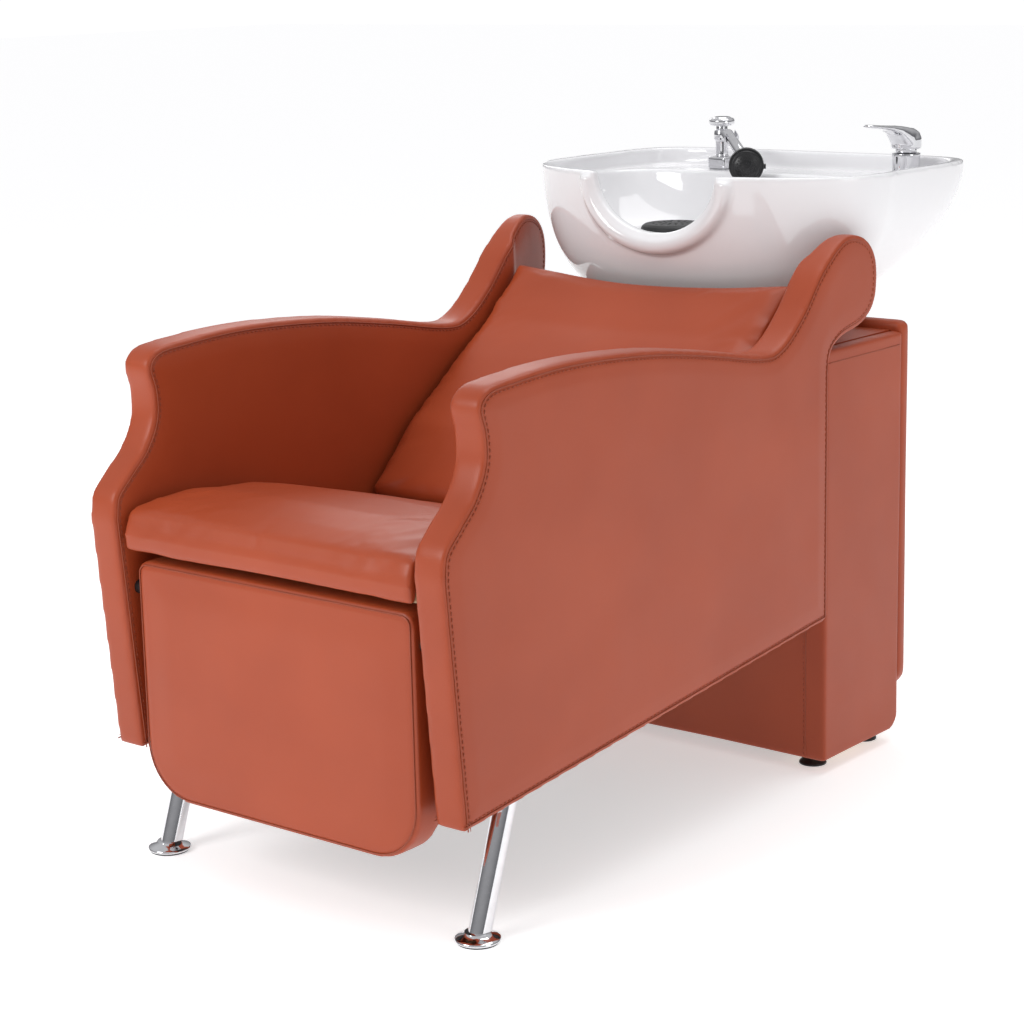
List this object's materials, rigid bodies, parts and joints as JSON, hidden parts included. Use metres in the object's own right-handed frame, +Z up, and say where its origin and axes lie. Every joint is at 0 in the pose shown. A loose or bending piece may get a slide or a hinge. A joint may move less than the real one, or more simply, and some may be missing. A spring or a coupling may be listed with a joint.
{
  "type": "shampoo backwash unit",
  "caption": "Padded salon shampoo chair with a lifting footrest, joined to a pedestal that carries a tilting ceramic neck basin with mixer and spray handset.",
  "frame": {"origin": "on the floor under the middle of the whole unit", "axes": "+X across, +Y from the footrest towards the basin, +Z up"},
  "size_m": [0.62, 1.3157, 0.943],
  "materials": {
    "leather": "smooth upholstery vinyl with fine grain",
    "timber": "plain plywood",
    "zinc_steel": "zinc plated",
    "black_steel": "black powder coat",
    "chrome": "bright chrome",
    "brass": "plain brass",
    "black_plastic": "moulded black",
    "white_plastic": "moulded white",
    "black_rubber": "moulded rubber",
    "black_cloth": "non-woven lining",
    "ceramic": "glazed white"
  },
  "bodies": {
    "frame": {"arm_core_left": "timber", "arm_core_right": "timber", "arm_cover_left": "leather", "arm_cover_right": "leather", "back_board": "timber", "back_cushion": "leather", "dust_cover": "black_cloth", "foot_pads": "black_rubber", "footrest_pins": "zinc_steel", "footrest_spacers": "black_plastic", "front_apron": "leather", "joint_spacers": "timber", "leg_foot_left": "chrome", "leg_foot_right": "chrome", "leg_left": "chrome", "leg_plate_left": "zinc_steel", "leg_plate_right": "zinc_steel", "leg_right": "chrome", "leg_screws": "zinc_steel", "lower_rail": "timber", "pedestal_base": "timber", "pedestal_bolts": "zinc_steel", "pedestal_front": "leather", "pedestal_glides": "black_plastic", "pedestal_side_left": "leather", "pedestal_side_right": "leather", "pedestal_top": "timber", "rear_cover": "leather", "rear_rail": "timber", "seat_board": "timber", "seat_cushion": "leather", "seat_rail_left": "timber", "seat_rail_right": "timber", "supply_valve_cold": "brass", "supply_valve_hot": "brass", "tilt_base": "black_steel", "tilt_bellows": "black_rubber", "tilt_pin": "zinc_steel", "trap_bracket": "zinc_steel", "valve_bracket": "zinc_steel", "waste_pipe": "white_plastic", "waste_trap": "white_plastic"},
    "footrest": {"footrest_pad": "leather", "footrest_board": "timber"},
    "basin_head": {"basin": "ceramic", "drain_flange": "chrome", "tilt_bracket": "black_steel", "mixer_body": "chrome", "breaker_base": "chrome", "breaker_body": "chrome", "breaker_cap": "chrome", "handset_cradle": "chrome"},
    "mixer_swivel": {"mixer_cartridge": "chrome"},
    "mixer_lever": {"mixer_handle": "chrome"},
    "handset": {"handset_head": "black_plastic", "handset_face": "black_plastic", "handset_handle": "chrome"},
    "spray_button": {"handset_button": "black_plastic"},
    "drain_strainer": {"strainer": "black_rubber"}
  },
  "joints": [
    {"name": "footrest_hinge", "type": "hinge", "parent": "frame", "child": "footrest", "pos_m": [0, -0.618, 0.392], "axis": [-1, 0, 0], "range_deg": [0, 85]},
    {"name": "basin_tilt", "type": "hinge", "parent": "frame", "child": "basin_head", "pos_m": [0, 0.257, 0.655], "axis": [-1, 0, 0], "range_deg": [0, 8], "deforming": ["tilt_bellows"]},
    {"name": "mixer_turn", "type": "hinge", "parent": "basin_head", "child": "mixer_swivel", "pos_m": [0.205, 0.592, 0.898], "axis": [0, 0, 1], "range_deg": [-45, 45]},
    {"name": "mixer_lift", "type": "hinge", "parent": "mixer_swivel", "child": "mixer_lever", "pos_m": [0.205, 0.592, 0.898], "axis": [-1, 0, 0], "range_deg": [0, 15]},
    {"name": "handset_lift", "type": "slide", "parent": "basin_head", "child": "handset", "axis": [0, 0, 1], "range_m": [0, 0.05]},
    {"name": "spray_press", "type": "slide", "parent": "handset", "child": "spray_button", "axis": [-0.8312, -0.556, 0], "range_m": [0, 0.002], "stiffness_N_per_m": 400},
    {"name": "strainer_lift", "type": "slide", "parent": "basin_head", "child": "drain_strainer", "axis": [0, 0, 1], "range_m": [0, 0.03]}
  ]
}
